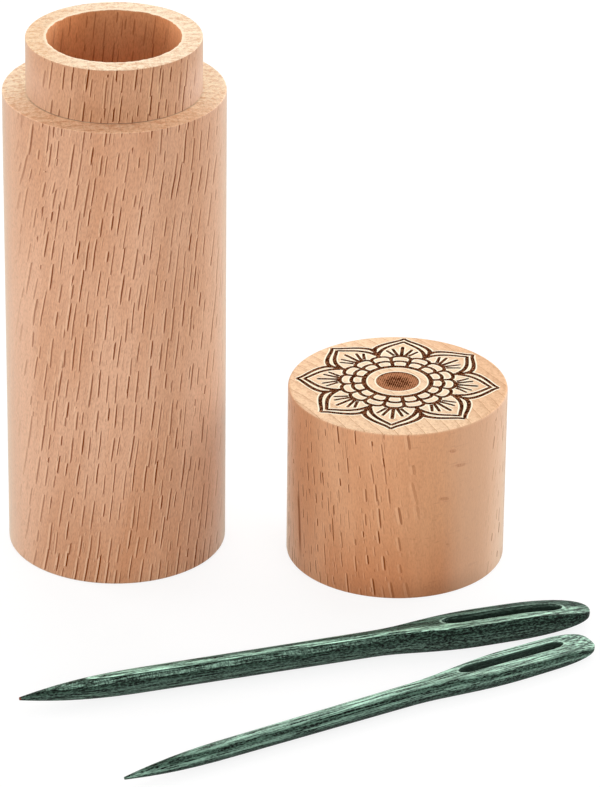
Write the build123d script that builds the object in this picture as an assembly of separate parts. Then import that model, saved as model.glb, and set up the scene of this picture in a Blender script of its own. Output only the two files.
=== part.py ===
from build123d import *
import os

# Case body, in millimetres: it stands on z = 0 with its axis on Z
body_diameter = 33.0
shoulder_height = 74.0
neck_height = 8.3
neck_wall = 3.1
floor_thickness = 5.0

# Cap, which slips over the neck and seats on the shoulder
cap_height = 27.6
cap_wall = 3.35
cap_top_thickness = 6.6
neck_fit = 0.15

# Where the cap's axis stands, with its mouth down, beside the body
cap_x = 42.4
cap_y = -3.4

# Eased edges of the turned pieces
foot_ease = 0.4
shoulder_ease = 0.2
rim_ease = 0.2
socket_ease = 0.2
cap_top_ease = 0.4

# Large needle: its shank thickens a little from the point's taper to the root of the head
large_length = 87.6
large_point_diameter = 0.45
large_point_length = 19.6
large_shank_diameter = 3.72
large_root_diameter = 3.87
large_swell_length = 17.2
large_nose_length = 17.3
large_nose_fullness = 0.82
large_head_diameter = 6.12
large_flat_length = 42.0
large_wedge_length = 11.9
large_head_thickness = 3.58
large_end_thickness = 0.8
large_eye_length = 18.7
large_eye_width = 2.05
large_eye_offset = 0.25
large_eye_to_end = 4.3

# Small needle, by the same names
small_length = 78.2
small_point_diameter = 0.42
small_point_length = 18.9
small_shank_diameter = 2.84
small_root_diameter = 3.2
small_swell_length = 19.4
small_nose_length = 12.6
small_nose_fullness = 0.94
small_head_diameter = 5.45
small_flat_length = 38.0
small_wedge_length = 7.0
small_head_thickness = 2.3
small_end_thickness = 0.5
small_eye_length = 17.9
small_eye_width = 1.75
small_eye_offset = 0.4
small_eye_to_end = 4.8

# The eye's elliptical ends and the eased edge round it, on both needles
eye_end_length = 2.6
eye_ease = 0.2

# Where each needle's point lies, its heading from +X and its roll, in degrees
large_x = -12.05
large_y = -54.3
large_heading = 18.7
large_roll = 0.0
small_x = 3.8
small_y = -75.5
small_heading = 31.0
small_roll = 4.0

# What follows from the sizes above
body_radius = body_diameter / 2
socket_radius = body_radius - cap_wall
neck_radius = socket_radius - neck_fit
bore_radius = neck_radius - neck_wall
total_height = shoulder_height + neck_height
socket_depth = cap_height - cap_top_thickness


# Turns a closed outline of (radius, height) points about Z
def turn(*outline):
    points = [(radius, 0, height) for radius, height in outline]
    return revolve(make_face(Polyline(*points, close=True)), Axis.Z)


# Rounds the circular edges of one radius at one height
def ease(solid, radius, height, size):
    edges = []
    for edge in solid.edges().filter_by(GeomType.CIRCLE):
        if abs(edge.radius - radius) < 0.01 and abs(edge.position_at(0).Z - height) < 0.01:
            edges.append(edge)
    return fillet(edges, size)


# The tube: a flat foot, a shoulder, a thinner neck and a blind bore for the needles
def make_body():
    body = turn(
        (0, 0),
        (body_radius, 0),
        (body_radius, shoulder_height),
        (neck_radius, shoulder_height),
        (neck_radius, total_height),
        (bore_radius, total_height),
        (bore_radius, floor_thickness),
        (0, floor_thickness),
    )
    body = ease(body, body_radius, 0, foot_ease)
    body = ease(body, body_radius, shoulder_height, shoulder_ease)
    body = ease(body, neck_radius, total_height, rim_ease)
    return ease(body, bore_radius, total_height, rim_ease)


# The cap: a blind socket for the neck under a thick flat top
def make_cap():
    cap = turn(
        (socket_radius, 0),
        (body_radius, 0),
        (body_radius, cap_height),
        (0, cap_height),
        (0, socket_depth),
        (socket_radius, socket_depth),
    )
    cap = ease(cap, socket_radius, 0, socket_ease)
    cap = ease(cap, body_radius, 0, shoulder_ease)
    cap = ease(cap, body_radius, cap_height, cap_top_ease)
    return Pos(cap_x, cap_y, 0) * cap


# A needle as it is turned, round all along: its point is at the origin and its axis on X
def turn_needle(point_radius, point_length, shank_radius, root_radius, root, head_radius, peak, fullness, length):
    swell_length = peak - root
    outline = [
        Line((0, 0), (0, point_radius)),
        Bezier(
            (0, point_radius),
            (point_length / 3, 0.24 * point_radius + 0.76 * shank_radius),
            (0.6 * point_length, shank_radius),
            (point_length, shank_radius),
        ),
        Line((point_length, shank_radius), (root, root_radius)),
        Bezier(
            (root, root_radius),
            (root + 0.4 * swell_length, root_radius),
            (peak - 0.4 * swell_length, head_radius),
            (peak, head_radius),
        ),
        Bezier(
            (peak, head_radius),
            (peak + fullness * (length - peak), head_radius),
            (length, fullness * head_radius),
            (length, 0),
        ),
        Line((length, 0), (0, 0)),
    ]
    return revolve(make_face(outline), Axis.X)


# What is planed off above the head: it fades in on the shank and falls away towards the nose
def planed_off(start, knee, end, width):
    top = Vector(0, 0, width)
    side = [
        Line(start, knee),
        TangentArc(knee, end, tangent=knee - start),
        Line(end, end + top),
        Line(end + top, start + top),
        Line(start + top, start),
    ]
    return extrude(make_face(side), width, dir=(0, 1, 0), both=True)


# The eye, a slot with elliptical ends that goes right through the head, a little off the axis
def eye_hole(near, far, width, offset, depth):
    near_centre = near + eye_end_length
    far_centre = far - eye_end_length
    front = offset - width / 2
    back = offset + width / 2
    outline = [
        Line((near_centre, front), (far_centre, front)),
        EllipticalCenterArc((far_centre, offset), eye_end_length, width / 2, -90, arc_size=180),
        Line((far_centre, back), (near_centre, back)),
        EllipticalCenterArc((near_centre, offset), eye_end_length, width / 2, 90, arc_size=180),
    ]
    return extrude(make_face(outline), depth, both=True)


# Rounds the edges where the eye breaks through the two flats
def ease_eye(needle, near, far, width, offset):
    edges = []
    for edge in needle.edges():
        box = edge.bounding_box()
        beside = max(offset - box.min.Y, box.max.Y - offset) < width / 2 + 0.01
        if beside and near - 0.01 < box.min.X and box.max.X < far + 0.01 and box.min.Z * box.max.Z > 0:
            edges.append(edge)
    return fillet(edges, eye_ease)


# One needle, round in the shank and flattened at the head, with its point at the origin
def make_needle(
    length, point_diameter, point_length, shank_diameter, root_diameter, swell_length, nose_length,
    nose_fullness, head_diameter, flat_length, wedge_length, head_thickness, end_thickness,
    eye_length, eye_width, eye_offset, eye_to_end,
):
    peak = length - nose_length
    round_needle = turn_needle(
        point_diameter / 2, point_length, shank_diameter / 2, root_diameter / 2, peak - swell_length,
        head_diameter / 2, peak, nose_fullness, length,
    )
    chip = planed_off(
        Vector(length - flat_length, 0, root_diameter / 2),
        Vector(length - wedge_length, 0, head_thickness / 2),
        Vector(length, 0, end_thickness / 2),
        head_diameter,
    )
    eye_far = length - eye_to_end
    eye_near = eye_far - eye_length
    flat_needle = round_needle - chip - mirror(chip, Plane.XY)
    open_needle = flat_needle - eye_hole(eye_near, eye_far, eye_width, eye_offset, head_diameter)
    return ease_eye(open_needle, eye_near, eye_far, eye_width, eye_offset)


# Lays a needle down on the surface that the case stands on
def lay(needle, x, y, heading, roll):
    rolled = Rot(roll, 0, 0) * needle
    return Pos(x, y, -rolled.bounding_box().min.Z) * Rot(0, 0, heading) * rolled


large_needle = make_needle(
    large_length, large_point_diameter, large_point_length, large_shank_diameter, large_root_diameter,
    large_swell_length, large_nose_length, large_nose_fullness, large_head_diameter, large_flat_length,
    large_wedge_length, large_head_thickness, large_end_thickness,
    large_eye_length, large_eye_width, large_eye_offset, large_eye_to_end,
)
small_needle = make_needle(
    small_length, small_point_diameter, small_point_length, small_shank_diameter, small_root_diameter,
    small_swell_length, small_nose_length, small_nose_fullness, small_head_diameter, small_flat_length,
    small_wedge_length, small_head_thickness, small_end_thickness,
    small_eye_length, small_eye_width, small_eye_offset, small_eye_to_end,
)

parts = {
    "case_body": make_body(),
    "cap": make_cap(),
    "large_darning_needle": lay(large_needle, large_x, large_y, large_heading, large_roll),
    "small_darning_needle": lay(small_needle, small_x, small_y, small_heading, small_roll),
}

os.makedirs("parts", exist_ok=True)
for name, solid in parts.items():
    export_step(solid, f"parts/{name}.step")
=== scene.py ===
import bpy
import bmesh
import math
from types import SimpleNamespace
from mathutils import Matrix, Vector, noise


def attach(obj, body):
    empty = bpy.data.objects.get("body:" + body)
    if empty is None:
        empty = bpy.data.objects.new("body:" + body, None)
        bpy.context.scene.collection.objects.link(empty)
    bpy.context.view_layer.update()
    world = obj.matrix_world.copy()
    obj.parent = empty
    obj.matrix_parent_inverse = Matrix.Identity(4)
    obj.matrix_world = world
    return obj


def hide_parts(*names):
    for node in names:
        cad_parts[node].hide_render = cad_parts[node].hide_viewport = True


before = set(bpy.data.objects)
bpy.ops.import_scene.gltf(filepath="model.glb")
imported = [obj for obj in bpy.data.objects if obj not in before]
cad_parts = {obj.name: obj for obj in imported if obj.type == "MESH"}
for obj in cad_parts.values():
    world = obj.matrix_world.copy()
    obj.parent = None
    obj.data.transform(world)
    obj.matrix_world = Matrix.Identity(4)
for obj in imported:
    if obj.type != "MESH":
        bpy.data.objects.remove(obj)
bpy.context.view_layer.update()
mm = 0.001
print("frame loaded:", sorted(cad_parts))


# the camera, fitted to the photograph
camera = {
    "place": (27.72, -694.65, 372.94),  # millimetres
    "pitch": 26.659,  # degrees below level
    "roll": 0.6454,
    "lens": 235.5,
    "sensor": 36.0,
    "clip": (0.01, 50.0),  # metres
}


def addCamera():
    pitch = math.radians(camera["pitch"])
    roll = math.radians(camera["roll"])
    ahead = Vector((0, math.cos(pitch), -math.sin(pitch)))
    level = Vector((1, 0, 0))
    upright = Vector((0, math.sin(pitch), math.cos(pitch)))
    right = math.cos(roll) * level + math.sin(roll) * upright
    up = math.cos(roll) * upright - math.sin(roll) * level
    aim = Matrix((right, up, -ahead)).transposed().to_4x4()
    lens = bpy.data.cameras.new("photoCamera")
    lens.lens = camera["lens"]
    lens.sensor_width = camera["sensor"]
    lens.clip_start, lens.clip_end = camera["clip"]
    seat = bpy.data.objects.new("photoCamera", lens)
    seat.matrix_world = Matrix.Translation(Vector(camera["place"]) * mm) @ aim
    bpy.context.scene.collection.objects.link(seat)
    bpy.context.scene.camera = seat


addCamera()
bpy.context.scene.view_settings.view_transform = "Standard"
print("camera placed")


# a colour as a picture editor shows it, taken back through the screen's curve for a shader
def paint(red, green, blue):
    channels = []
    for level in (red, green, blue):
        share = level / 255
        channels.append(share / 12.92 if share <= 0.04045 else ((share + 0.055) / 1.055) ** 2.4)
    return (*channels, 1.0)


# a value, a vector or a colour on its way through a material's nodes
class Wire:
    def __init__(self, tree, socket=None):
        self.tree = tree
        self.socket = socket

    def node(self, kind, settings=None, sockets=None, out=0):
        made = self.tree.nodes.new("ShaderNode" + kind)
        for name, value in (settings or {}).items():
            if name == "stops":
                ramp = made.color_ramp.elements
                for stop, (position, colour) in enumerate(value):
                    element = ramp[stop] if stop < 2 else ramp.new(position)
                    element.position = position
                    element.color = colour
            else:
                setattr(made, name, value)
        for name, value in (sockets or {}).items():
            if isinstance(value, Wire):
                self.tree.links.new(value.socket, made.inputs[name])
            else:
                made.inputs[name].default_value = value
        return Wire(self.tree, made.outputs[out] if made.outputs else None)

    # another output of the node that this wire comes from
    def output(self, name):
        return Wire(self.tree, self.socket.node.outputs[name])

    def attribute(self, name):
        return self.node("Attribute", {"attribute_name": name}, out="Fac")

    def maths(self, operation, *values):
        return self.node("Math", {"operation": operation}, dict(enumerate(values)))

    def __add__(self, other):
        return self.maths("ADD", self, other)

    def __sub__(self, other):
        return self.maths("SUBTRACT", self, other)

    def __rsub__(self, other):
        return self.maths("SUBTRACT", other, self)

    def __mul__(self, other):
        return self.maths("MULTIPLY", self, other)

    def __truediv__(self, other):
        return self.maths("DIVIDE", self, other)

    def __pow__(self, other):
        return self.maths("POWER", self, other)

    __radd__ = __add__
    __rmul__ = __mul__

    def size(self):
        return self.maths("ABSOLUTE", self)

    def root(self):
        return self.maths("SQRT", self)

    def above(self, other):
        return self.maths("MAXIMUM", self, other)

    def below(self, other):
        return self.maths("MINIMUM", self, other)

    # 0 up to the first value, 1 from the second one on, and a soft rise between them
    def step(self, first, second):
        sockets = {"Value": self, "From Min": first, "From Max": second}
        return self.node("MapRange", {"interpolation_type": "SMOOTHSTEP"}, sockets)

    def split(self):
        parts = self.node("SeparateXYZ", sockets={0: self})
        return [parts.output(axis) for axis in range(3)]

    def joined(self, x, y, z):
        return self.node("CombineXYZ", sockets={0: x, 1: y, 2: z})

    def cloud(self, detail=2.0, roughness=0.5):
        sockets = {"Vector": self, "Scale": 1.0, "Detail": detail, "Roughness": roughness}
        return self.node("TexNoise", sockets=sockets)

    def tint(self, share, colour):
        return self.node("Mix", {"data_type": "RGBA"}, {0: share, 6: self, 7: colour}, out=2)

    def shade(self, factor):
        return self.node("VectorMath", {"operation": "SCALE"}, {0: self, "Scale": factor})

    def filtered(self, colour):
        settings = {"data_type": "RGBA", "blend_type": "MULTIPLY"}
        return self.node("Mix", settings, {0: 1.0, 6: self, 7: colour}, out=2)


def newMaterial(name):
    material = bpy.data.materials.new(name)
    material.use_nodes = True
    material.node_tree.nodes.clear()
    return material, Wire(material.node_tree)


# the place on a piece in millimetres, counted from a centre and along turned axes
def placeOn(start, centre, turned):
    at = start.node("TexCoord", out="Object")
    sockets = {"Vector": at, "Location": centre, "Rotation": turned, "Scale": (mm, mm, mm)}
    return start.node("Mapping", {"vector_type": "TEXTURE"}, sockets).split()


# the studio, in metres: a floor that looks white and keeps a faint shadow, and soft light all round
studio = {
    "floorRadius": 6.0,
    "floorSides": 64,
    "floorSeen": 1.04,
    "floorBounce": (0.3, 0.29, 0.28, 1.0),
    "shadowShare": 0.22,
    "shadowReach": (0.2, 0.8),
    "worldLight": 0.44,
    "aim": (0.03, -0.02, 0.03),
    # name, place, size, watts
    "lamps": [
        ("keyBox", (-0.46, -1.2, 0.4), 0.9, 6.9),
        ("fillBox", (0.82, -1.1, 0.32), 0.9, 7.8),
        ("backBox", (0.0, 1.0, 0.7), 1.1, 7.4),
        ("leftSideBox", (-0.88, -0.85, 0.2), 0.6, 3.2),
        ("leftEdgeBox", (-1.0, 0.38, 0.2), 0.7, 9.4),
        ("rightEdgeBox", (0.86, 0.6, 0.22), 0.7, 11.4),
    ],
}
white = (1.0, 1.0, 1.0, 1.0)


# 1 for rays that arrive in one of these ways, and 0 for the light that other surfaces gather
def arriving(start, *ways):
    seen = start.node("LightPath", out=ways[0])
    for way in ways[1:]:
        seen = seen.above(start.node("LightPath", out=way))
    return seen


def floorPaper():
    material, start = newMaterial("floorPaper")
    x, y = start.node("TexCoord", out="Object").split()[:2]
    shadow = (1 - (x * x + y * y).root().step(*studio["shadowReach"])) * studio["shadowShare"]
    glow = start.node("Emission", sockets={"Color": white, "Strength": studio["floorSeen"]})
    shadowed = start.node("BsdfDiffuse", sockets={"Color": white})
    paper = start.node("MixShader", sockets={0: shadow, 1: glow, 2: shadowed})
    bounce = start.node("BsdfDiffuse", sockets={"Color": studio["floorBounce"]})
    seen = arriving(start, "Is Camera Ray", "Is Glossy Ray", "Is Transmission Ray")
    both = start.node("MixShader", sockets={0: seen, 1: bounce, 2: paper})
    start.node("OutputMaterial", sockets={"Surface": both})
    return material


def addFloor():
    sheet = bmesh.new()
    bmesh.ops.create_circle(sheet, cap_ends=True, radius=studio["floorRadius"], segments=studio["floorSides"])
    mesh = bpy.data.meshes.new("floor")
    sheet.to_mesh(mesh)
    sheet.free()
    floor = bpy.data.objects.new("floor", mesh)
    bpy.context.scene.collection.objects.link(floor)
    mesh.materials.append(floorPaper())


def addWorld():
    world = bpy.data.worlds.new("studioWorld")
    bpy.context.scene.world = world
    world.use_nodes = True
    world.node_tree.nodes.clear()
    start = Wire(world.node_tree)
    around = start.node("Background", sockets={"Color": white, "Strength": studio["worldLight"]})
    backdrop = start.node("Background", sockets={"Color": white, "Strength": 1.0})
    seen = arriving(start, "Is Camera Ray", "Is Transmission Ray")
    both = start.node("MixShader", sockets={0: seen, 1: around, 2: backdrop})
    start.node("OutputWorld", sockets={"Surface": both})


def addLamps():
    aim = Vector(studio["aim"])
    for name, place, size, power in studio["lamps"]:
        light = bpy.data.lights.new(name, "AREA")
        light.size = size
        light.energy = power
        lamp = bpy.data.objects.new(name, light)
        lamp.location = place
        lamp.rotation_euler = (aim - Vector(place)).to_track_quat("-Z", "Y").to_euler()
        bpy.context.scene.collection.objects.link(lamp)


addFloor()
addWorld()
addLamps()
print("studio set")


# what the beech of both turned pieces has in common, in millimetres
beechFigure = {
    # fine textures: thickness and length of the cells, detail, roughness
    "fibres": (0.16, 1.3, 2.0, 0.6),
    "grit": (0.19, 0.55, 1.0, 0.5),
    "mottle": (0.6, 3.5, 2.0, 0.5),
    "broad": (5.0, 26.0, 1.0, 0.5),
    "broadTones": (0.35, 0.65),
    "wanderPitch": (0.12, 0.12, 0.09),
    # ray flecks: how loosely they are placed, and the small ones' least and most width and length
    "fleckScatter": 0.62,
    "smallWidth": (0.04, 0.065),
    "smallLength": (0.3, 1.1),
    "smallPalest": 0.1,
    "smallStrength": 0.42,
    "fleckFade": (0.8, 1.3),
    # the painted highlight beside a fleck, as if its edge caught the light: how far off, in half its width,
    # and where it fades
    "litSide": 2.2,
    "litFade": (0.4, 1.6),
    "litSlim": 0.6,
    "litStrength": 0.6,
    "endFade": 0.88,
    "boreFade": 0.45,
    "fleck": paint(112, 48, 2),
    # rings: how much they bow and wander, where the late wood lies in each and where its line
    "ringBow": 0.006,
    "ringWander": 1.2,
    "lateWood": (0.35, 0.97),
    "lineRise": (0.93, 0.96),
    "lineFall": (0.965, 0.99),
    "lineMottle": 1.8,
    # plain sides and end grain
    "plainShare": 0.6,
    "paintedSideShadeReach": (2, 13),
    "patchCell": (0.75, 0.5, 3.0),
    "patchShow": (0.42, 0.68),
    "barCell": (1.9, 9.0, 0.55),
    "barShow": (0.66, 0.76),
    "paintedLowShadeFacing": (0.4, 0.95),
    # how much the fine textures shade and brown the wood
    "mottleStrength": 0.14,
    "reliefShade": 0.6,
    "lateShade": 0.03,
    "reliefBrown": 0.9,
    "brown": paint(200, 150, 110),
    # the surface
    "roughness": 0.55,
    "gloss": 0.35,
    "sheenSpread": 0.38,
    "endBare": 0.85,
    "bumpStrength": 0.7,
    "bumpDepth": 0.07,
}


# where a point lies in the wood, and the textures that its looks share
def readGrain(start, wood):
    heading = math.radians(wood["heading"])
    centre = (wood["centre"][0] * mm, wood["centre"][1] * mm, 0)
    across, radial, up = placeOn(start, centre, (0, 0, heading))
    endGrain = start.attribute("endGrain")
    sideGrain = 1 - endGrain
    fromAxis = (across * across + radial * radial).root()

    # the grain leans a little off the axis, less in the middle of the piece, and wanders
    pitch = beechFigure["wanderPitch"]
    wander = start.joined(across * pitch[0], radial * pitch[1], up * pitch[2]).cloud() - 0.5
    bend = up.below(wood["leanTop"]) - wood["leanMiddle"]
    leaning = across - up * wood["lean"] - bend * bend * bend * wood["leanBend"] + wander * wood["wander"]

    def texture(name):
        thickness, length, detail, roughness = beechFigure[name]
        cells = start.joined(leaning / thickness, radial / thickness, up / length)
        return cells.cloud(detail, roughness)

    inside = 0.0
    if "bore" in wood:
        inside = (1 - fromAxis.step(wood["bore"] + 0.2, wood["bore"] + 0.4)) * sideGrain
    return SimpleNamespace(
        start=start, across=across, radial=radial, up=up, fromAxis=fromAxis, leaning=leaning, wander=wander,
        endGrain=endGrain, sideGrain=sideGrain, inside=inside,
        fibres=texture("fibres"), grit=texture("grit"), mottle=texture("mottle"), broad=texture("broad"),
        # how far a side looks along the rays, and how far it looks to the front
        tangent=(radial.size() / fromAxis).step(*wood["facing"]),
        facing=(across * -math.sin(heading) - radial * math.cos(heading)) / fromAxis,
    )


# ray flecks: dark lenses, thin across the rays and short up the grain, one to each cell of wood
def rayFlecks(grain, cell, width, length, palest):
    spot = grain.start.joined(grain.leaning / cell[0], grain.radial / cell[1], grain.up / cell[2])
    sockets = {"Vector": spot, "Scale": 1.0, "Randomness": beechFigure["fleckScatter"]}
    found = spot.node("TexVoronoi", {"voronoi_dimensions": "3D"}, sockets)
    thin, tall, strong = found.output("Color").split()
    centre = found.output("Position")
    away = spot.node("VectorMath", {"operation": "SUBTRACT"}, {0: spot, 1: centre}).split()
    offAcross = away[0] * cell[0] / (thin * (width[1] - width[0]) + width[0])
    offUp = away[2] * cell[2] / (tall * (length[1] - length[0]) + length[0])
    ends = (offUp * offUp) ** 2
    strength = strong * (1 - palest) + palest
    dark = (1 - (offAcross * offAcross + ends).step(*beechFigure["fleckFade"])) * strength
    beside = offAcross + beechFigure["litSide"]
    edge = (beside * beside * beechFigure["litSlim"] + ends).step(*beechFigure["litFade"])
    return dark, (1 - edge) * strength


# they show on the sides that look along the rays, and less on end grain and in the bore
def beechFlecks(grain, wood):
    cell, smallCell = wood["fleckCell"], wood["smallCell"]
    small = (beechFigure["smallWidth"], beechFigure["smallLength"], beechFigure["smallPalest"])
    large, litEdge = rayFlecks(grain, cell, wood["fleckWidth"], wood["fleckLength"], wood["palest"])
    fine, litFine = rayFlecks(grain, smallCell, *small)
    marks = large.above(fine * beechFigure["smallStrength"]) * grain.tangent
    marks = marks * (1 - grain.endGrain * beechFigure["endFade"])
    # painted highlight: a pale edge beside each fleck
    pale = litEdge.above(litFine * beechFigure["litStrength"]) * grain.tangent * grain.sideGrain * (1 - marks)
    return marks * (1 - grain.inside * beechFigure["boreFade"]), pale * (1 - grain.inside)


# growth rings: each grows darker and ends at a fine line, which only the end grain shows
def growthRings(grain, wood):
    bow = grain.across * grain.across * beechFigure["ringBow"]
    count = (grain.radial + bow + grain.wander * beechFigure["ringWander"]) / wood["ringWidth"]
    ring = count.maths("FRACT", count)
    late = ring.step(*beechFigure["lateWood"]) * (1 - ring.step(beechFigure["lateWood"][1], 1.0))
    line = ring.step(*beechFigure["lineRise"]) * (1 - ring.step(*beechFigure["lineFall"]))
    return late, line * grain.endGrain * (grain.mottle * beechFigure["lineMottle"])


# the plain wood: two tones in long stretches, rings, fibres and grit, end grain of its own colour, and
# painted shade, with painted light on one side of the cap
def plainBeech(grain, wood):
    start = grain.start
    first, second = beechFigure["broadTones"]
    stops = [(first, wood["pale"]), (second, wood["warm"])]
    tone = start.node("ValToRGB", {"stops": stops}, {0: grain.broad})
    tone = tone.tint((1 - grain.tangent) * beechFigure["plainShare"], wood["radial"])
    tone = tone.tint(grain.endGrain, wood["end"])

    # painted shade: one side of the end grain is a little darker
    towardsShadedSide = grain.across * wood["paintedSideShadeWay"][0] + grain.radial * wood["paintedSideShadeWay"][1]
    paintedSideShade = towardsShadedSide.step(*beechFigure["paintedSideShadeReach"]) * grain.up.step(*wood["paintedSideShadeHeight"])
    tone = tone.tint(paintedSideShade * grain.endGrain, tone.filtered(wood["paintedSideShade"]))

    relief = (grain.fibres - 0.5) * wood["fibreStrength"] + (grain.grit - 0.5) * wood["grit"]
    relief = relief + (grain.mottle - 0.5) * beechFigure["mottleStrength"]
    late, ringLine = growthRings(grain, wood)
    tone = tone.shade(1.0 + relief * beechFigure["reliefShade"] - late * beechFigure["lateShade"])
    browned = (relief * -beechFigure["reliefBrown"]).above(0)
    tone = tone.tint(browned, tone.filtered(beechFigure["brown"]))

    # rings and loose patches on the end grain
    wide, deep, tall = beechFigure["patchCell"]
    patches = start.joined(grain.across / wide, grain.radial / deep, grain.up / tall).cloud(3.0, 0.7)
    darker = late * wood["ringStrength"] + patches.step(*beechFigure["patchShow"]) * wood["patches"]
    tone = tone.tint(darker * grain.endGrain, wood["ringColour"])
    tone = tone.tint(ringLine * wood["ringLine"], wood["ringColour"])

    # painted shade: the front is darker towards the foot, and low bars lie across the plain sides
    paintedLowShade = (1 - grain.up.step(0, wood["paintedLowShadeTop"])) * grain.facing.step(*beechFigure["paintedLowShadeFacing"])
    tone = tone.tint(paintedLowShade * grain.sideGrain, tone.filtered(wood["paintedLowShade"]))
    wide, deep, tall = beechFigure["barCell"]
    bars = start.joined(grain.radial / wide, grain.across / deep, grain.up / tall).cloud(1.0)
    satin = bars.step(*beechFigure["barShow"]) * (1 - grain.tangent) * grain.sideGrain
    tone = tone.tint(satin * wood["satin"], beechFigure["fleck"])
    # painted light: one side of the piece is paler
    if "paintedLitSide" in wood:
        way, reach, share = wood["paintedLitSide"]
        paler = (grain.across * way[0] + grain.radial * way[1]).step(*reach) * grain.sideGrain * share
        tone = tone.tint(paler, wood["paintedLitWood"])
    return tone


# painted shade: one long dark band up the grain
def paintedShadeBand(grain, wood):
    place, foot, head, width, strength = wood["streak"]
    band = 1 - ((grain.leaning - place) / width).size().step(0.2, 1.0)
    tall = grain.up.step(foot - 3, foot + 2) * (1 - grain.up.step(head - 1, head + 1))
    return band * tall * grain.sideGrain * strength


# beech with its grain and some painted light and shade, and then what each piece adds, with more painted
# light and shade on the tube
def beech(name, wood, worked):
    material, start = newMaterial(name)
    grain = readGrain(start, wood)
    marks, litEdge = beechFlecks(grain, wood)
    tone = plainBeech(grain, wood)
    # the painted highlight beside the flecks
    tone = tone.tint(litEdge * beechFigure["litStrength"], wood["litEdge"])
    bare = marks
    # the painted shade band darkens one part of the side
    if "streak" in wood:
        bare = bare.above(paintedShadeBand(grain, wood))
    tone = tone.tint(bare, beechFigure["fleck"])
    tone, bare = worked(tone, bare, grain)

    # bare wood has no sheen: flecks, end grain, burnt lines and the bore
    height = grain.fibres * 0.3 + grain.grit * 0.5 + grain.mottle * 0.1 + marks * 0.15
    dulled = marks * 0.15 + (grain.mottle - 0.5) * 0.1
    skin = {
        "Base Color": tone,
        "Roughness": dulled + beechFigure["roughness"],
        "Normal": start.node("Bump", sockets={
            "Strength": beechFigure["bumpStrength"],
            "Distance": beechFigure["bumpDepth"] * mm,
            "Height": height,
        }),
    }
    sheen = {
        "Specular IOR Level": beechFigure["gloss"],
        "Sheen Weight": wood["sheen"],
        "Sheen Roughness": beechFigure["sheenSpread"],
        "Sheen Tint": wood["sheenTint"],
    }
    sanded = start.node("BsdfPrincipled", sockets={**skin, **sheen})
    dull = start.node("BsdfPrincipled", sockets={**skin, "Specular IOR Level": 0.0})
    bare = bare.above(grain.endGrain * beechFigure["endBare"])
    surface = start.node("MixShader", sockets={0: bare, 1: sanded, 2: dull})
    start.node("OutputMaterial", sockets={"Surface": surface})
    return material


# a turned piece: a disc is lifted and scaled, step by step, along an outline of (radius, height)
def turnedPiece(outline, easings, sides):
    piece = bmesh.new()
    bmesh.ops.create_circle(piece, cap_ends=True, radius=outline[0][0] * mm, segments=sides,
                            matrix=Matrix.Translation((0, 0, outline[0][1] * mm)))
    face = piece.faces[:][0]
    closing = face
    for (radius, height), (nextRadius, nextHeight) in zip(outline, outline[1:]):
        left = face
        made = bmesh.ops.extrude_face_region(piece, geom=[left])["geom"]
        face = [part for part in made if isinstance(part, bmesh.types.BMFace)][0]
        if left.is_valid and left is not closing:
            bmesh.ops.delete(piece, geom=[left], context="FACES_ONLY")
        share = nextRadius / radius
        bmesh.ops.scale(piece, vec=(share, share, 1), verts=face.verts[:])
        bmesh.ops.translate(piece, vec=(0, 0, (nextHeight - height) * mm), verts=face.verts[:])
    bmesh.ops.recalc_face_normals(piece, faces=piece.faces[:])

    # each eased edge is a circle, found by its radius and height
    near = 1e-5
    for radius, height, size in easings:
        ring = [edge for edge in piece.edges if all(
            abs(vert.co.xy.length - radius * mm) < near and abs(vert.co.z - height * mm) < near
            for vert in edge.verts)]
        bmesh.ops.bevel(piece, geom=ring, offset=size * mm, offset_type="OFFSET", affect="EDGES",
                        segments=4, profile=0.5, material=-1)
    return piece


# a finished mesh becomes a piece, and its place goes into its mesh
def finishPiece(name, piece, centre, material):
    bmesh.ops.translate(piece, vec=(centre[0] * mm, centre[1] * mm, 0), verts=piece.verts[:])
    mesh = bpy.data.meshes.new(name)
    piece.to_mesh(mesh)
    piece.free()
    made = bpy.data.objects.new(name, mesh)
    bpy.context.scene.collection.objects.link(made)
    mesh.materials.append(material)
    return made


# smooth round the turning, flat where it was cut flat, and end grain where it looks up or down
def markGrain(mesh):
    endGrain = mesh.attributes.new("endGrain", "FLOAT", "FACE")
    for polygon in mesh.polygons:
        level = abs(polygon.normal.z)
        polygon.use_smooth = level < 0.999
        endGrain.data[polygon.index].value = min(1.0, max(0.0, (level - 0.5) / 0.3))


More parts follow.
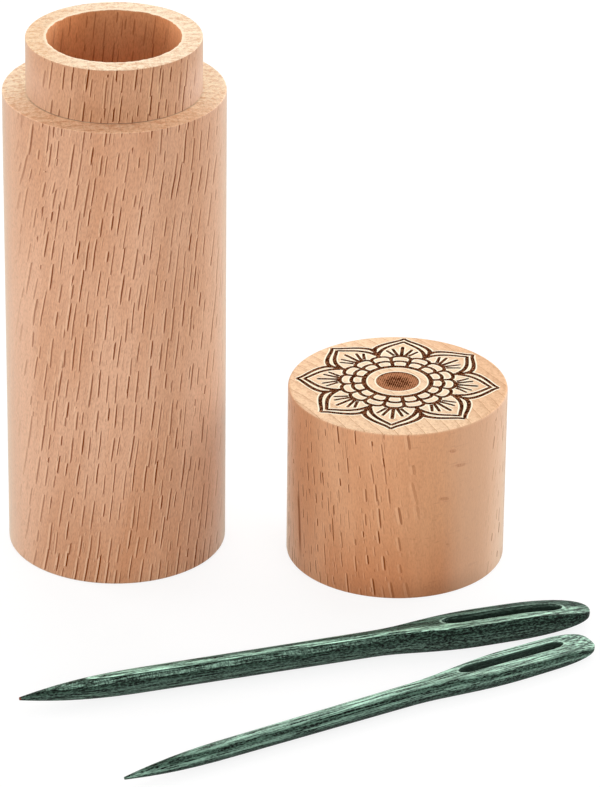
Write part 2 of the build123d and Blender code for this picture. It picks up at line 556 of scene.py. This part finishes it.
# the case's tube, in millimetres
tube = {
    "radius": 16.5,
    "neckRadius": 13.0,
    "boreRadius": 9.9,
    "shoulder": 74.0,
    "top": 82.3,
    "boreFloor": 5.0,
    "mouthDepth": 0.5,  # the bore's upper ring of faces
    "footEase": 0.4,
    "shoulderEase": 0.2,
    "rimEase": 0.2,
    "sides": 256,
    # how far the cutter tore the bore's upper edge
    "tear": 0.12,
    "tearPitch": 1.6,
    "tearReach": 0.25,
}
bodyWood = {
    "centre": (0, 0),
    "heading": 9,  # degrees from +X to the line across the rays
    "lean": 0.105,
    "leanMiddle": 30.0,
    "leanTop": 68.0,
    "leanBend": 0.0000155,
    "wander": 0.6,
    "facing": (0.2, 0.85),
    # across the rays, along them and up the grain
    "fleckCell": (1.4, 6.0, 5.2),
    "smallCell": (0.85, 3.0, 2.4),
    # least and most
    "fleckWidth": (0.072, 0.114),
    "fleckLength": (0.8, 3.3),
    "palest": 0.6,
    "litEdge": paint(236, 194, 160),
    "fibreStrength": 0.24,
    "grit": 0.66,
    "pale": paint(213, 165, 134),
    "warm": paint(203, 151, 117),
    "radial": paint(210, 162, 130),
    "end": paint(252, 230, 200),
    # painted shade on one side of the end grain: the way it lies, its height and its colour
    "paintedSideShadeWay": (-1.0, 0.1),
    "paintedSideShadeHeight": (75.0, 76.0),
    "paintedSideShade": paint(246, 234, 222),
    "ringWidth": 2.1,
    "ringStrength": 0.15,
    "ringLine": 0.1,
    "ringColour": paint(214, 152, 104),
    "patches": 0.6,
    # painted shade towards the foot: how high it reaches and its colour
    "paintedLowShadeTop": 26.0,
    "paintedLowShade": paint(238, 226, 212),
    "satin": 0.12,
    "sheen": 0.74,
    "sheenTint": (0.93, 1.0, 0.88, 1.0),
    "bore": tube["boreRadius"],
    # painted light and shade in the bore: the wood is painted warmer, brighter deep down and darker towards
    # the mouth, and most so away from its flanks
    "boreTint": paint(252, 234, 207),
    "boreLightDeep": 1.5,
    "boreShadeAtMouth": 0.66,
    "boreLit": (68, 81),
    "boreMiddle": 2.2,
    "boreFlank": (0.3, 0.9),
    "flankShare": 0.6,
    "boreBare": 0.8,
    "paintedUpperShade": paint(247, 243, 238),
    "upperFrom": (45, 74),
    "paintedNeckShade": paint(244, 238, 228),
    "paintedLedgeShade": paint(238, 209, 193),
    "ledgeFront": (-0.1, 0.9),
    "paintedFootShadow": paint(112, 92, 74),
    "paintedFootShadowStrength": 0.75,
    "mouth": paint(255, 236, 206),
    "mouthFrom": (80, 81),
}


# the bore and the neck with painted light and shade, the shoulder with painted shade in front and a painted
# shadow at the neck's foot, and the torn mouth with its pale fibres and a painted highlight
def tubePaintedLightAndTornMouth(tone, bare, grain):
    wood, inside, up, fromAxis = bodyWood, grain.inside, grain.up, grain.fromAxis
    flank = ((grain.across - wood["boreMiddle"]).size() / wood["bore"]).step(*wood["boreFlank"])
    lit = up.step(*wood["boreLit"]) * (1 - flank * wood["flankShare"])
    lit = wood["boreLightDeep"] - lit * wood["boreShadeAtMouth"]
    tone = tone.tint(inside, tone.filtered(wood["boreTint"]).shade(lit))
    # painted shade: the upper body and the outside of the neck are a little darker
    tone = tone.tint(up.step(*wood["upperFrom"]) * grain.sideGrain, tone.filtered(wood["paintedUpperShade"]))
    neck = up.step(tube["shoulder"] - 0.1, tube["shoulder"] + 0.1) * grain.sideGrain * (1 - inside)
    tone = tone.tint(neck, tone.filtered(wood["paintedNeckShade"]))

    # painted shade: the shoulder is darker in front, with a painted shadow as a dark line at the neck's foot
    ledge = grain.endGrain * (1 - up.step(tube["shoulder"] + 1, tube["shoulder"] + 2))
    front = grain.facing.step(*wood["ledgeFront"])
    tone = tone.tint(ledge * front, tone.filtered(wood["paintedLedgeShade"]))
    foot = ledge * (1 - fromAxis.step(tube["neckRadius"] + 0.05, tube["neckRadius"] + 0.4))
    tone = tone.tint(foot * front * wood["paintedFootShadowStrength"], wood["paintedFootShadow"])

    # the torn fibres round the bore's mouth are pale, with a painted highlight on that edge as well
    mouth = grain.endGrain * up.step(*wood["mouthFrom"])
    mouth = mouth * (1 - fromAxis.step(wood["bore"] + 0.2, wood["bore"] + 0.6))
    tone = tone.tint(mouth * (0.3 + grain.mottle), wood["mouth"])
    return tone, bare.above(inside * wood["boreBare"])


# the cutter left the bore's upper edge a little torn
def tearRim(piece):
    for vert in piece.verts:
        reach = vert.co.xy.length / mm
        high = vert.co.z / mm > tube["top"] - tube["tearReach"]
        if high and reach < tube["boreRadius"] + tube["tearReach"]:
            torn = noise.noise(vert.co / mm * tube["tearPitch"]) * tube["tear"]
            share = (reach + torn) / reach
            vert.co.x *= share
            vert.co.y *= share


def addBody():
    radius, neck, bore = tube["radius"], tube["neckRadius"], tube["boreRadius"]
    shoulder, top = tube["shoulder"], tube["top"]
    outline = [(radius, 0), (radius, shoulder), (neck, shoulder), (neck, top), (bore, top),
               (bore, top - tube["mouthDepth"]), (bore, tube["boreFloor"])]
    easings = [(radius, 0, tube["footEase"]), (radius, shoulder, tube["shoulderEase"]),
               (neck, top, tube["rimEase"]), (bore, top, tube["rimEase"])]
    piece = turnedPiece(outline, easings, tube["sides"])
    tearRim(piece)
    made = finishPiece("caseTube", piece, bodyWood["centre"], beech("beechBody", bodyWood, tubePaintedLightAndTornMouth))
    markGrain(made.data)
    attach(made, "body")
    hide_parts("case_body")


addBody()
print("body turned")


# the cap, mouth down, in millimetres
cap = {
    "radius": 16.5,
    "height": 27.6,
    "socketRadius": 13.15,
    "socketDepth": 21.0,
    "topEase": 0.4,
    "mouthEase": 0.2,
    "sides": 256,
}
capWood = {
    "centre": (42.4, -3.4),
    "heading": -57,
    "lean": -0.085,
    "leanMiddle": 0.0,
    "leanTop": 0.0,
    "leanBend": 0.0,
    "wander": 0.5,
    "facing": (0.25, 0.7),
    "fleckCell": (1.6, 5.0, 4.0),
    "smallCell": (1.1, 3.0, 2.2),
    "fleckWidth": (0.06, 0.105),
    "fleckLength": (0.4, 2.0),
    "palest": 0.35,
    "litEdge": paint(230, 180, 142),
    "fibreStrength": 0.2,
    "grit": 0.44,
    "pale": paint(214, 159, 119),
    "warm": paint(205, 145, 103),
    "radial": paint(200, 144, 102),
    "end": paint(245, 211, 174),
    # painted shade on one side of the end grain: the way it lies, its height and its colour
    "paintedSideShadeWay": (0.3, 0.95),
    "paintedSideShadeHeight": (20.0, 21.0),
    "paintedSideShade": paint(243, 231, 223),
    "ringWidth": 2.0,
    "ringStrength": 0.14,
    "ringLine": 0.8,
    "ringColour": paint(180, 120, 78),
    "patches": 0.3,
    # painted shade towards the foot: how high it reaches and its colour
    "paintedLowShadeTop": 14.0,
    "paintedLowShade": paint(236, 218, 202),
    "satin": 0.17,
    # painted light, one side paler: the way it looks, where it starts and is full that way, its share
    "paintedLitSide": ((0.89, 0.454), (12.8, 15.7), 0.5),
    "paintedLitWood": paint(216, 174, 142),
    "sheen": 0.8,
    "sheenTint": (0.98, 0.98, 0.84, 1.0),
    # the painted shade band: place across the rays, foot, head, half its width, strength
    "streak": (-0.75, 4.0, 12.5, 0.55, 0.7),
    # place along the rays, height, half the width, half the height
    "nicks": [(-1.04, 23.9, 0.85, 0.32), (0.14, 21.2, 0.9, 0.3), (-2.3, 16.2, 0.8, 0.34),
              (-1.75, 8.35, 0.35, 0.2)],
    "nick": paint(168, 106, 68),
    # round the rosette the wood is paler
    "cream": paint(255, 247, 222),
    "creamReach": (9.5, 13.5),
    "creamMiddle": (4.4, 5.0),
    # the burnt lines and the hatched disc
    "char": paint(64, 25, 7),
    "scorch": paint(184, 126, 90),
    "charTones": (0.35, 0.85),
    "charGrain": 0.3,
    "hatch": 14.0,
    "darkMiddle": (1.2, 2.7),
    "discPaler": 0.44,
    "middleDarker": 0.42,
}
rosette = {
    "offset": (-0.05, 0.5),
    "drift": 0.6,
    "reach": 14.95,
    "spread": 1.018,
    "turn": 85.5,
    "petals": 8,
    "scales": 16,
    "depth": 0.15,
    # the heat left a pale edge beside every line
    "paleDepth": 0.02,
    "paleEdge": 0.24,
    "burntReach": 15.4,  # no line reaches farther from the middle
    "discBurn": 0.45,
    "boldness": 1.35,
    "disc": 3.18,
    "ring": (4.62, 5.34),
    "ringSides": 128,
    # along the petal, beside its middle line, width of the line
    "outer": [(9.95, 4.1, 0.5), (10.75, 4.14, 0.52), (11.3, 3.92, 0.5), (11.86, 3.54, 0.48),
              (12.4, 3.02, 0.45), (12.9, 2.44, 0.43), (13.4, 1.78, 0.42), (13.8, 1.2, 0.41),
              (14.15, 0.72, 0.4), (14.5, 0.34, 0.38), (14.95, 0.0, 0.32)],
    "inner": [(8.75, 3.42, 0.5), (9.28, 3.4, 0.5), (10.0, 3.2, 0.48), (10.5, 3.02, 0.46),
              (10.96, 2.76, 0.45), (11.5, 2.4, 0.43), (12.0, 1.96, 0.42), (12.4, 1.54, 0.41),
              (12.8, 1.08, 0.4), (13.2, 0.62, 0.4), (13.8, 0.0, 0.36)],
    "rays": [[(8.6, 0.0, 0.5), (9.4, 0.0, 0.4), (10.6, 0.0, 0.4), (11.7, 0.0, 0.4), (11.95, 0.0, 0.24)],
             [(8.7, 0.52, 0.4), (9.5, 0.84, 0.36), (10.3, 1.18, 0.36), (10.95, 1.44, 0.34), (11.1, 1.5, 0.2)],
             [(8.7, 1.06, 0.4), (9.3, 1.5, 0.36), (9.8, 1.88, 0.34), (10.25, 2.24, 0.32), (10.4, 2.34, 0.2)]],
    "valley": [(8.6, 0.0, 0.5), (9.5, 0.0, 0.56), (10.3, 0.0, 0.5), (11.1, 0.0, 0.3)],
    # rings of scales: where they and the walls between them start and end, width of the line
    "innerScales": (6.02, 6.84, 0.42),
    "outerScales": (7.5, 8.54, 0.42),
    "innerWalls": (5.2, 6.15, 0.46),
    "outerWalls": (6.2, 7.6, 0.42),
    "scaleSteps": 6,
    "scaleFullness": 2.6,
}


# small nicks on the plain side
def nicked(tone, grain):
    for beside, height, halfWidth, halfHeight in capWood["nicks"]:
        offBeside = (grain.radial - beside) / halfWidth + (grain.mottle - 0.5) * 2.5
        offHeight = (grain.up - height) / halfHeight + offBeside * 0.4
        nick = 1 - (offBeside * offBeside + offHeight * offHeight).step(0.3, 1.2)
        nick = nick * grain.across.step(0, 5) * grain.sideGrain
        tone = tone.tint(nick * (grain.grit * 1.5 - 0.25).above(0), capWood["nick"])
    return tone


# the nicks and the burnt rosette, with creamy wood round its lines
def workedCap(tone, bare, grain):
    tone = nicked(tone, grain)
    start, across, radial = grain.start, grain.across, grain.radial
    unturned = Matrix.Rotation(-math.radians(capWood["heading"]), 2)
    bloom = unturned @ Vector((rosette["offset"][0], rosette["offset"][1] + rosette["drift"]))
    around = ((across - bloom.x) ** 2 + (radial - bloom.y) ** 2).root()
    creamed = (1 - around.step(*capWood["creamReach"])) * (0.1 + around.step(*capWood["creamMiddle"]) * 0.3)
    creamed = creamed.above(start.attribute("paleEdge") * 0.9) * grain.endGrain
    tone = tone.tint(creamed, capWood["cream"])

    burnt = start.attribute("burnt")
    hatched = burnt.step(0.1, 0.3) * (1 - burnt.step(0.6, 0.9))
    scan = (across + radial) * capWood["hatch"]
    stripes = scan.maths("SINE", scan) * (hatched + 0.4)
    cell = capWood["charGrain"]
    char = start.joined(across / cell, radial / cell, grain.up / cell).cloud(3.0, 0.7) * 2.0 - 0.45
    middle = (1 - around.step(*capWood["darkMiddle"])) * hatched
    heat = char + stripes * 0.2 + hatched * capWood["discPaler"] - middle * capWood["middleDarker"] - 0.12
    dark, light = capWood["charTones"]
    stops = [(dark, capWood["char"]), (light, capWood["scorch"])]
    ember = start.node("ValToRGB", {"stops": stops}, {0: heat})
    line = burnt.step(0.02, 0.1)
    return tone.tint(line, ember), bare.above(line)


# a ribbon follows the points, and its other edge is drawn out from the first one
def stroke(cutter, points, margin):
    line = []
    for index, (along, beside, width) in enumerate(points):
        before = points[max(index - 1, 0)]
        after = points[min(index + 1, len(points) - 1)]
        heading = Vector((after[0] - before[0], after[1] - before[1])).normalized()
        sideways = Vector((-heading.y, heading.x)) * (width * rosette["boldness"] / 2 + margin)
        line.append((Vector((along, beside)), sideways))
    left = [cutter.verts.new((at + off).to_3d()) for at, off in line]
    edges = [cutter.edges.new(pair) for pair in zip(left, left[1:])]
    made = bmesh.ops.extrude_edge_only(cutter, edges=edges)["geom"]
    right = [part for part in made if isinstance(part, bmesh.types.BMVert)]
    for vert in right:
        at, off = min(line, key=lambda spot: ((spot[0] + spot[1]).to_3d() - vert.co).length)
        vert.co = (at - off).to_3d()


# a flat ring, or a disc where it has no inner edge
def ringOf(cutter, inner, outer):
    sides = rosette["ringSides"]
    made = bmesh.ops.create_circle(cutter, cap_ends=False, radius=outer, segments=sides)["verts"]
    edges = list({edge for vert in made for edge in vert.link_edges})
    if not inner:
        bmesh.ops.contextual_create(cutter, geom=edges)
        return
    hole = bmesh.ops.create_circle(cutter, cap_ends=False, radius=inner, segments=sides)["verts"]
    edges += list({edge for vert in hole for edge in vert.link_edges})
    bmesh.ops.bridge_loops(cutter, edges=edges)


# the rounded outer edge of one scale
def scaleEdge(root, crown, width):
    half = math.pi / rosette["scales"]
    steps = rosette["scaleSteps"]
    points = []
    for stop in range(2 * steps + 1):
        share = math.sin((stop / steps - 1) * math.pi / 2)
        reach = root + (crown - root) * math.sqrt(max(0.0, 1 - abs(share) ** rosette["scaleFullness"]))
        points.append((reach * math.cos(half * share), reach * math.sin(half * share), width))
    return points


# the rosette in plan, with a petal along +X: each part is drawn once, to be turned round the middle
def drawRosette(margin):
    plans = []

    def repeat(strokes, count, bothSides, first=0.0):
        for points in strokes:
            sides = [points]
            if bothSides:
                sides.append([(along, -beside, width) for along, beside, width in points])
            for side in sides:
                plan = bmesh.new()
                stroke(plan, side, margin)
                plans.append((plan, count, first))

    petals, scales = rosette["petals"], rosette["scales"]
    repeat([rosette["outer"], rosette["inner"]], petals, True)
    repeat(rosette["rays"][:1], petals, False)
    repeat(rosette["rays"][1:], petals, True)
    repeat([rosette["valley"]], petals, False, 180 / petals)
    for ring in ("innerScales", "outerScales"):
        repeat([scaleEdge(*rosette[ring])], scales, False)
    for ring in ("innerWalls", "outerWalls"):
        near, far, width = rosette[ring]
        wall = [(near, 0.0, width), ((near + far) / 2, 0.0, width * 0.9), (far, 0.0, width)]
        repeat([wall], scales, False, 180 / scales)
    inner, outer = rosette["ring"]
    for near, far in ((0, rosette["disc"]), (inner - margin, outer)):
        plan = bmesh.new()
        ringOf(plan, near, far + margin)
        plans.append((plan, 1, 0.0))
    return plans


# every line of the rosette becomes a shallow block that reaches just above the cap's top
def makeCutter(depth, margin):
    blocks = bmesh.new()
    for plan, count, first in drawRosette(margin):
        faces = bmesh.ops.extrude_face_region(plan, geom=plan.faces[:])["geom"]
        lifted = [part for part in faces if isinstance(part, bmesh.types.BMVert)]
        bmesh.ops.translate(plan, vec=(0, 0, 2 * depth), verts=lifted)
        bmesh.ops.recalc_face_normals(plan, faces=plan.faces[:])
        mesh = bpy.data.meshes.new("line")
        for turn in range(count):
            copy = plan.copy()
            angle = math.radians(rosette["turn"] + first + turn * 360 / count)
            bmesh.ops.rotate(copy, cent=(0, 0, 0), matrix=Matrix.Rotation(angle, 3, "Z"), verts=copy.verts[:])
            copy.to_mesh(mesh)
            blocks.from_mesh(mesh)
            copy.free()
        plan.free()
        bpy.data.meshes.remove(mesh)

    # the rosette's middle stands a little towards the back of its petals
    for vert in blocks.verts:
        vert.co.y += rosette["drift"] * max(0.0, 1 - (vert.co.xy.length / rosette["reach"]) ** 2)
    wide = rosette["spread"] * mm
    bmesh.ops.scale(blocks, vec=(wide, wide, mm), verts=blocks.verts[:])
    x = capWood["centre"][0] + rosette["offset"][0]
    y = capWood["centre"][1] + rosette["offset"][1]
    floor = cap["height"] - depth
    bmesh.ops.translate(blocks, vec=(x * mm, y * mm, floor * mm), verts=blocks.verts[:])
    mesh = bpy.data.meshes.new("rosetteCutter")
    blocks.to_mesh(mesh)
    blocks.free()
    return bpy.data.objects.new("rosetteCutter", mesh)


def carve(made, cutter):
    bpy.context.scene.collection.objects.link(cutter)
    cut = made.modifiers.new("rosette", "BOOLEAN")
    cut.operation = "DIFFERENCE"
    cut.solver = "EXACT"
    cut.use_self = True
    cut.object = cutter
    shown = made.evaluated_get(bpy.context.evaluated_depsgraph_get())
    carved = bpy.data.meshes.new_from_object(shown)
    made.modifiers.clear()
    made.data = carved
    bpy.data.objects.remove(cutter)


# the faces below the cap's top are burnt, and those just below it are the pale edges
def markBurn(mesh):
    burnt = mesh.attributes.new("burnt", "FLOAT", "FACE")
    pale = mesh.attributes.new("paleEdge", "FLOAT", "FACE")
    x, y = capWood["centre"]
    centre = Vector((x + rosette["offset"][0], y + rosette["offset"][1]))
    middle = centre + Vector((0, rosette["drift"] * rosette["spread"]))
    shallow = 0.4 * rosette["paleDepth"]
    deeper = 1.2 * rosette["paleDepth"]
    for polygon in mesh.polygons:
        spot = polygon.center.xy / mm
        below = cap["height"] - polygon.center.z / mm
        if (spot - centre).length > rosette["burntReach"]:
            continue
        if deeper < below < 2 * rosette["depth"]:
            inDisc = (spot - middle).length < rosette["disc"]
            burnt.data[polygon.index].value = rosette["discBurn"] if inDisc else 1.0
        elif shallow < below < deeper:
            pale.data[polygon.index].value = 1.0


def addCap():
    radius, socket, height = cap["radius"], cap["socketRadius"], cap["height"]
    outline = [(radius, height), (radius, 0), (socket, 0), (socket, cap["socketDepth"])]
    easings = [(radius, height, cap["topEase"]), (radius, 0, cap["mouthEase"]), (socket, 0, cap["mouthEase"])]
    piece = turnedPiece(outline, easings, cap["sides"])
    made = finishPiece("caseCap", piece, capWood["centre"], beech("beechCap", capWood, workedCap))
    carve(made, makeCutter(rosette["paleDepth"], rosette["paleEdge"]))
    carve(made, makeCutter(rosette["depth"], 0.0))
    markGrain(made.data)
    markBurn(made.data)
    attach(made, "cap")
    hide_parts("cap")
    print("rosette cut:", len(made.data.polygons), "faces")


addCap()


# the needles keep their CAD meshes, and each gets its own laminate: millimetres along it from its point
needles = {
    "large_darning_needle": {
        "point": (-12.05, -54.3, 1.935),
        "heading": 18.7,
        "roll": 0.0,
        "layerRoll": -8.0,
        # the veneers, from the lowest up: a height and the colour there, with painted light and shade: the
        # pale band near the top stands for the shank's highlight, and the dark veneers below it for its shade
        "veneerTonesAndPaintedLight": [(-1.9, (54, 70, 62)), (-1.4, (64, 82, 72)), (-0.98, (76, 94, 84)), (-0.6, (70, 88, 78)),
                    (-0.3, (58, 74, 66)), (0.0, (52, 68, 60)), (0.24, (39, 55, 46)), (0.5, (24, 37, 30)),
                    (0.8, (30, 45, 37)), (1.2, (36, 53, 44)), (1.4, (42, 60, 50)), (1.44, (172, 208, 188)),
                    (1.54, (130, 162, 143)), (1.68, (150, 184, 164)), (1.75, (56, 74, 64)),
                    (1.86, (70, 92, 80)), (2.1, (92, 116, 103))],
        # between the first place and the last one the veneers rise by so much
        "sway": [(-20, -10, 0.12), (56, 66, -0.12)],
        # where the planed end starts, its length and how far the veneers turn down there
        "planedEnd": (75.7, 11.9, 1.25),
        "crossed": (0.56, 1.24),
        "streakLength": 4.6,
        # how far short flakes break up the long streaks, on the shank and on the head
        "flakeShare": (0.27, 0.54),
        "topVeneer": (1.3, 1.5),
        "contrast": 1.52,
        "glueRoll": -26.0,
        "glueGap": 0.8,
        "firstLine": 0.447,
        "glueSeen": (62, 76),
        "glue": paint(16, 32, 25),
        "fibre": paint(104, 138, 121),
        # the eye: where it starts and ends, its offset and its width
        "eye": (64.6, 83.3, 0.25, 2.05),
        "backShade": 0.6,
        "noseShade": 0.68,
        "paintedEyeWallShade": paint(46, 64, 54),
        "core": paint(120, 62, 40),
    },
    "small_darning_needle": {
        "point": (3.8, -75.5, 1.6),
        "heading": 31.0,
        "roll": 4.0,
        "layerRoll": 2.0,
        "veneerTonesAndPaintedLight": [(-1.5, (44, 58, 51)), (-0.4, (46, 60, 53)), (-0.2, (52, 68, 60)), (-0.05, (90, 113, 101)),
                    (0.3, (96, 121, 108)), (0.5, (84, 108, 95)), (0.6, (46, 65, 55)), (0.82, (62, 84, 72)),
                    (0.95, (38, 55, 46)), (1.05, (42, 60, 50)), (1.1, (92, 117, 103)), (1.2, (98, 124, 110)),
                    (1.28, (120, 149, 133)), (1.36, (146, 178, 160)), (1.7, (150, 182, 164))],
        "sway": [(36, 48, 0.12), (50, 66, -0.40)],
        "planedEnd": (71.2, 7.0, 1.0),
        "crossed": (2.0, 2.1),
        "streakLength": 6.5,
        "flakeShare": (0.26, 0.44),
        "topVeneer": (0.95, 1.15),
        "contrast": 1.42,
        "glueRoll": -17.0,
        "glueGap": 0.97,
        "firstLine": 0.14,
        "glueSeen": (62, 74),
        "glue": paint(22, 42, 33),
        "fibre": paint(112, 146, 129),
        "eye": (55.5, 73.4, 0.4, 1.75),
        "backShade": 0.86,
        "noseShade": 0.94,
        "paintedEyeWallShade": paint(56, 76, 65),
        "core": paint(70, 90, 78),
    },
}
laminateFigure = {
    # textures: length, width and thickness of the cells, detail, roughness
    "wave": (16.0, 3.0, 3.0, 1.0, 0.5),
    "flake": (0.48, 0.23, 0.21, 2.0, 0.6),
    "tick": (0.22, 0.6, 0.6, 1.0, 0.5),
    "streak": (0.22, 0.18, 3.0, 0.6),  # each needle has its own length of streak
    "waveHeight": 0.08,
    "headFrom": (46, 60),
    "shankTo": (46, 62),
    "pores": (0.2, 0.32, 0.25, 1.0),
    "brightness": 2.5,
    "core": (0.02, 0.3),  # how far the point's bare core shows
    "glueLine": (0.03, 0.12),
    "glueWave": 0.16,
    # the eye: length of its rounded ends, and its wall and the painted highlight on its eased edge, where 1
    # is the wall
    "eyeEnd": 2.6,
    "wall": (1.0, 1.06),
    "paintedEdgeHighlightRise": (1.03, 1.08),
    "paintedEdgeHighlightFall": (1.12, 1.24),
    "paintedEdgeHighlight": paint(196, 232, 212),
    "behind": (1.0, 1.6),
    "nose": (0.5, 3.0),
    "roughness": 0.4,
    "gloss": 0.06,
    "bumpStrength": 0.6,
    "bumpDepth": 0.06,
}


# the height among the veneers, which lie nearly level and turn down with the planed end
def veneerLevel(needle, along, thick, wave):
    knee, wedge, fall = needle["planedEnd"]
    down = (along - knee).above(0.0) / wedge
    level = thick + wave * laminateFigure["waveHeight"] + down * down * fall
    for first, last, rise in needle["sway"]:
        level = level - along.step(first, last) * rise
    return level


# the veneers' colours, which also carry the painted highlight and shade
def veneerColourAndPaintedLight(needle, level):
    lowest = needle["veneerTonesAndPaintedLight"][0][0]
    highest = needle["veneerTonesAndPaintedLight"][-1][0]
    stops = []
    for height, colour in needle["veneerTonesAndPaintedLight"]:
        stops.append(((height - lowest) / (highest - lowest), paint(*colour)))
    return level.node("ValToRGB", {"stops": stops}, {0: (level - lowest) / (highest - lowest)})


# glue lines come to the surface where the head is planed flat
def glueLines(needle, along, height, wave, streaks):
    glued = (height - needle["firstLine"] + wave * laminateFigure["glueWave"]) / needle["glueGap"]
    nearest = (glued - glued.maths("ROUND", glued)).size()
    lines = (1 - nearest.step(*laminateFigure["glueLine"])) * along.step(*needle["glueSeen"])
    return lines * (0.35 + streaks * 0.5)


# the wood behind the eye is darker, painted shade darkens the nose and the eye's walls, and a painted
# highlight brightens its eased edge
def aroundEye(needle, tone, place, flakes, bright):
    length, beside, height = place
    near, far, offset, width = needle["eye"]
    eyeEnd = laminateFigure["eyeEnd"]
    reach = ((length - (near + far) / 2).size() - ((far - near) / 2 - eyeEnd)).above(0.0) / eyeEnd
    aside = (beside - offset) / (width / 2)
    slot = (reach * reach + aside * aside).root()  # 1 at the eye's wall
    behind = aside.step(*laminateFigure["behind"]) * length.step(near - 6, near) * height.step(0.0, 0.4)
    tone = tone.tint(behind, tone.shade(needle["backShade"]))
    nose = (length - far).step(*laminateFigure["nose"])
    tone = tone.tint(nose, tone.shade(needle["noseShade"]))
    wall = tone.tint(0.8, needle["paintedEyeWallShade"]).shade(0.45 + bright * 0.5)
    tone = tone.tint(1 - slot.step(*laminateFigure["wall"]), wall)
    eased = slot.step(*laminateFigure["paintedEdgeHighlightRise"]) * (1 - slot.step(*laminateFigure["paintedEdgeHighlightFall"]))
    eased = eased * height.step(0.1, 0.4) * (0.4 + flakes * 0.6) * (1 - aside.step(0.3, 1.0) * 0.7)
    return tone.tint(eased * 0.85, laminateFigure["paintedEdgeHighlight"])


def laminate(name, needle):
    material, start = newMaterial(name)
    point = tuple(step * mm for step in needle["point"])

    def rolled(roll):
        return placeOn(start, point, (math.radians(roll), 0, math.radians(needle["heading"])))

    def texture(long, wide, deep, detail, roughness):
        return start.joined(along / long, across / wide, thick / deep).cloud(detail, roughness)

    along, across, thick = rolled(needle["layerRoll"])
    wave = texture(*laminateFigure["wave"]) - 0.5
    level = veneerLevel(needle, along, thick, wave)
    tone = veneerColourAndPaintedLight(needle, level)

    # pressed fibres run lengthwise, and fine pores cross the middle veneers of the shank
    streaks = texture(needle["streakLength"], *laminateFigure["streak"]).step(0.36, 0.64)
    flakes = texture(*laminateFigure["flake"]).step(0.35, 0.65)
    ticks = texture(*laminateFigure["tick"]).step(0.4, 0.6)
    crossedLow, crossedHigh = needle["crossed"]
    crossed = level.step(crossedLow, crossedLow + 0.15) * (1 - level.step(crossedHigh, crossedHigh + 0.1))
    crossed = crossed * (1 - along.step(*laminateFigure["shankTo"]))
    tone = tone.tint(crossed * (0.2 + ticks * 0.45), laminateFigure["pores"])

    # short flakes break them up, most on the head below its top veneer
    onShank, onHead = needle["flakeShare"]
    scaly = along.step(*laminateFigure["headFrom"]) * (1 - level.step(*needle["topVeneer"]))
    scaly = scaly * (onHead - onShank) + onShank
    bright = streaks * (1 - scaly) + flakes * scaly
    tone = tone.shade(bright ** needle["contrast"] * laminateFigure["brightness"])
    tone = tone.tint(flakes.step(0.5, 1.0) * 0.22, needle["fibre"])
    glued = rolled(needle["glueRoll"])[2]
    tone = tone.tint(glueLines(needle, along, glued, wave, streaks), needle["glue"])
    place = rolled(needle["roll"])
    tone = aroundEye(needle, tone, place, flakes, bright)
    tone = tone.tint(1 - place[0].step(*laminateFigure["core"]), needle["core"])
    surface = start.node("BsdfPrincipled", sockets={
        "Base Color": tone,
        "Roughness": laminateFigure["roughness"] + streaks * 0.15,
        "Specular IOR Level": laminateFigure["gloss"],
        "Normal": start.node("Bump", sockets={
            "Strength": laminateFigure["bumpStrength"],
            "Distance": laminateFigure["bumpDepth"] * mm,
            "Height": streaks + flakes * 0.6,
        }),
    })
    start.node("OutputMaterial", sockets={"Surface": surface})
    return material


for nodeName, needle in needles.items():
    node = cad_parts[nodeName]
    node.data.materials.clear()
    node.data.materials.append(laminate(nodeName.replace("_darning_needle", "") + "Laminate", needle))
    print(nodeName, len(node.data.vertices), "vertices", len(node.data.polygons), "faces")
print("needles finished")
